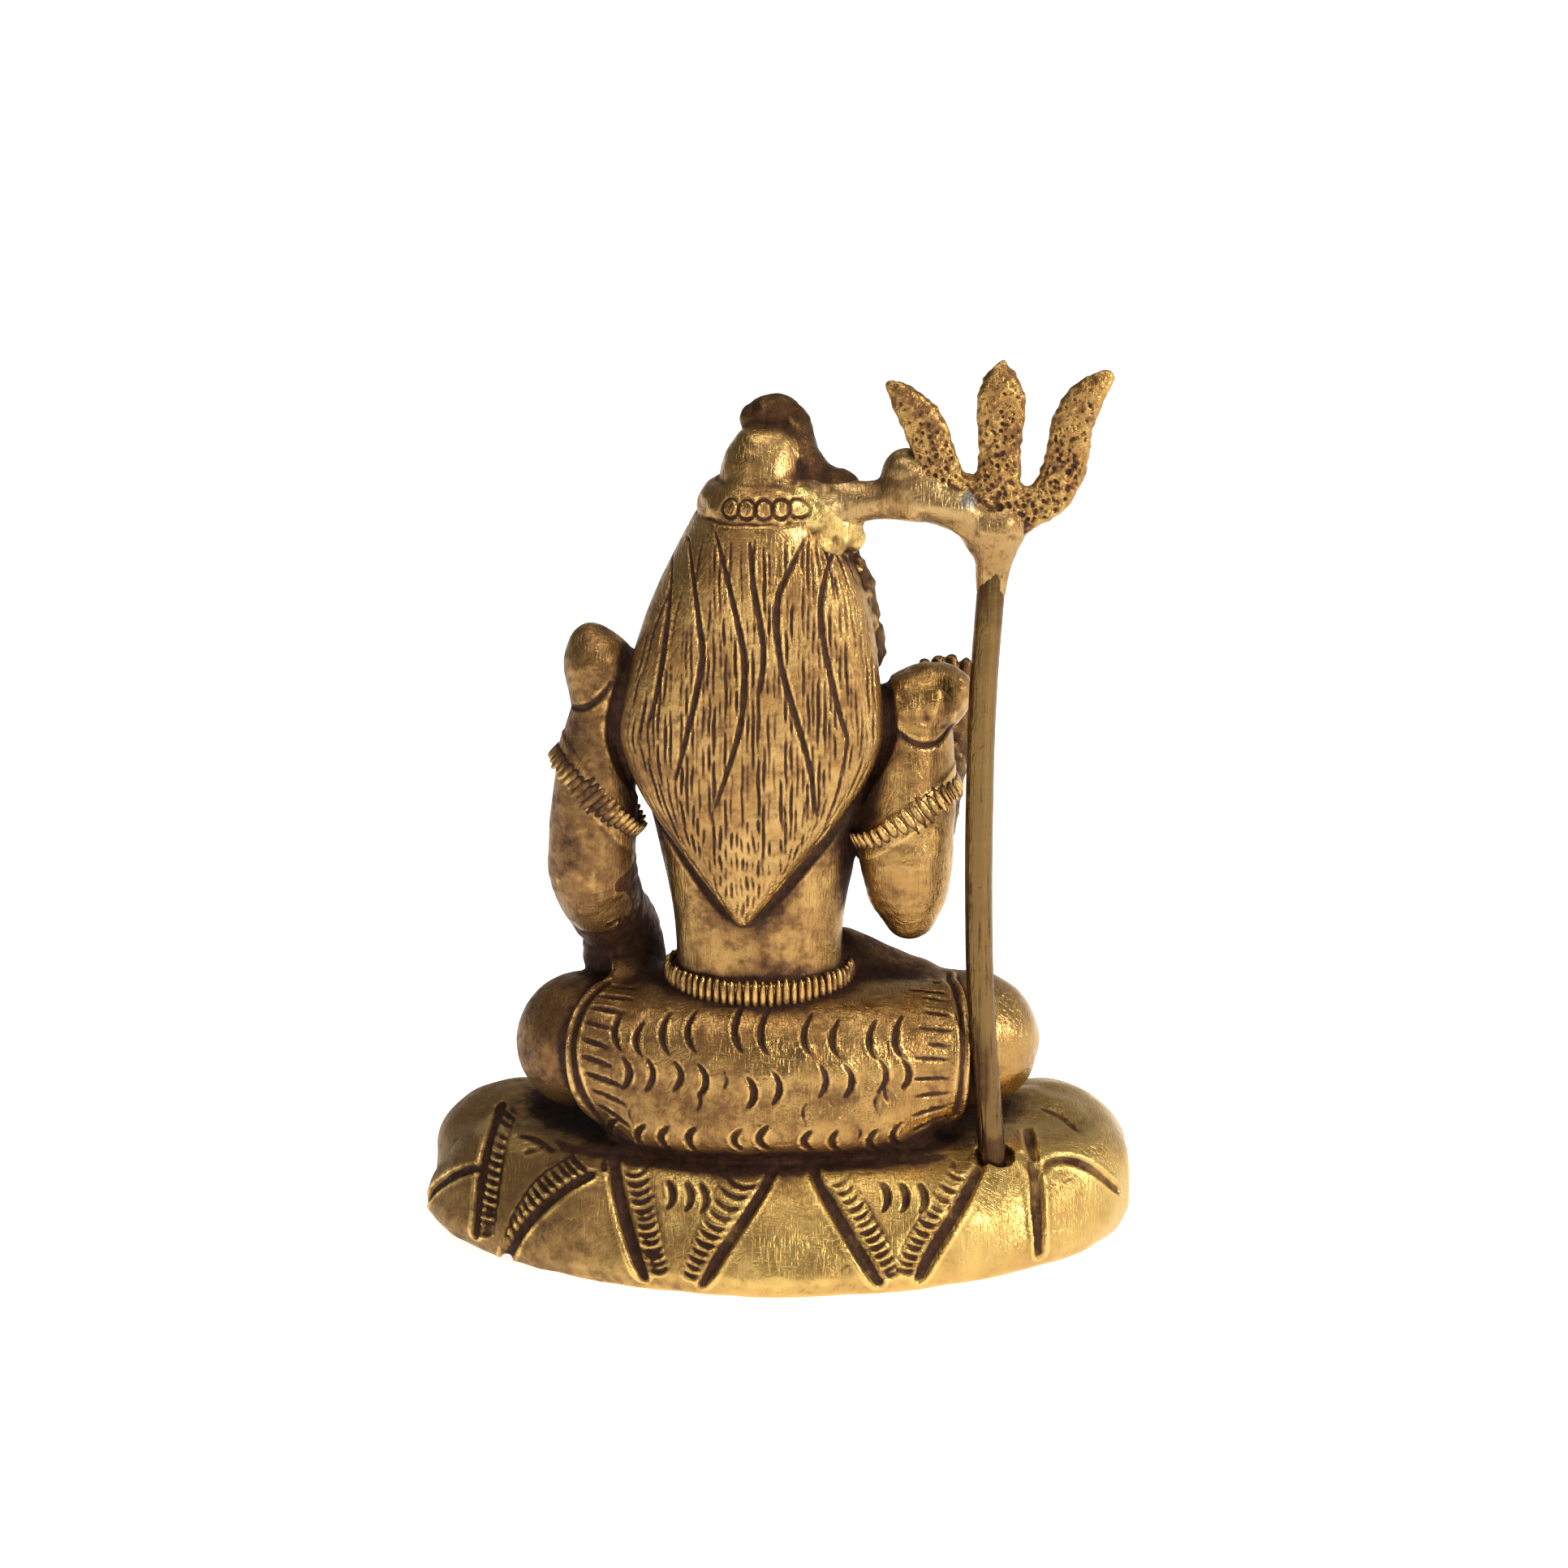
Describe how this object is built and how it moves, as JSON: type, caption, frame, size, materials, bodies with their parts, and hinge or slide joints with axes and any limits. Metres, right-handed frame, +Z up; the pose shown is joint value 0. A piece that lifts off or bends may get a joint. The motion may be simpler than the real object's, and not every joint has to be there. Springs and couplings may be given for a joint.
{
  "type": "seated deity figurine",
  "caption": "Cast brass cross-legged deity figurine on an oval mound, with a tall trident on a thin rod beside it, tied to the hair by a short bar.",
  "frame": {"origin": "middle of the mound's underside, on the surface it stands on", "axes": "+Z up, the figure faces -Y, its left hand side is at +X and the trident at -X"},
  "size_m": [0.078, 0.0446, 0.0986],
  "materials": {
    "figure_brass": "satin cast brass, polished high spots over brown patina",
    "mound_brass": "polished yellow brass with chased grooves",
    "hair_brass": "chased strand lines filled with dark patina",
    "ornament_brass": "filed ribs with dark gaps",
    "shaded_brass": "unpolished brass, brown patina",
    "bridge_brass": "smooth cast bar, satin",
    "trident_brass": "rough sand-cast face full of pits",
    "rod_brass": "drawn rod with fine lengthwise lines",
    "grey_solder": "soft solder",
    "yellow_braze": "bright yellow braze metal"
  },
  "bodies": {
    "root": {"hip_wrap": "figure_brass", "left_thigh": "figure_brass", "right_thigh": "figure_brass", "left_shin": "figure_brass", "right_shin": "figure_brass", "left_foot": "figure_brass", "right_foot": "figure_brass", "torso": "figure_brass", "left_upper_arm": "figure_brass", "right_upper_arm": "figure_brass", "left_shoulder_cap": "figure_brass", "right_shoulder_cap": "figure_brass", "head": "figure_brass", "base_mound": "mound_brass", "hair_mane": "hair_brass", "hair_bun": "hair_brass", "left_wrap_hem": "ornament_brass", "right_wrap_hem": "ornament_brass", "waist_belt": "ornament_brass", "left_armlet": "ornament_brass", "right_armlet": "ornament_brass", "hair_band": "ornament_brass", "left_earring": "ornament_brass", "right_earring": "ornament_brass", "necklace": "ornament_brass", "crescent_moon": "ornament_brass", "left_forearm": "shaded_brass", "right_forearm": "shaded_brass", "left_hand": "shaded_brass", "right_hand": "shaded_brass", "neck_serpent": "shaded_brass", "bun_knob": "shaded_brass", "bun_side_lock": "shaded_brass", "support_bridge": "bridge_brass", "bridge_knob": "bridge_brass", "trident_collar": "bridge_brass", "trident_head": "trident_brass", "trident_rod": "rod_brass", "bridge_solder": "grey_solder", "hair_braze": "yellow_braze"}
  },
  "joints": []
}
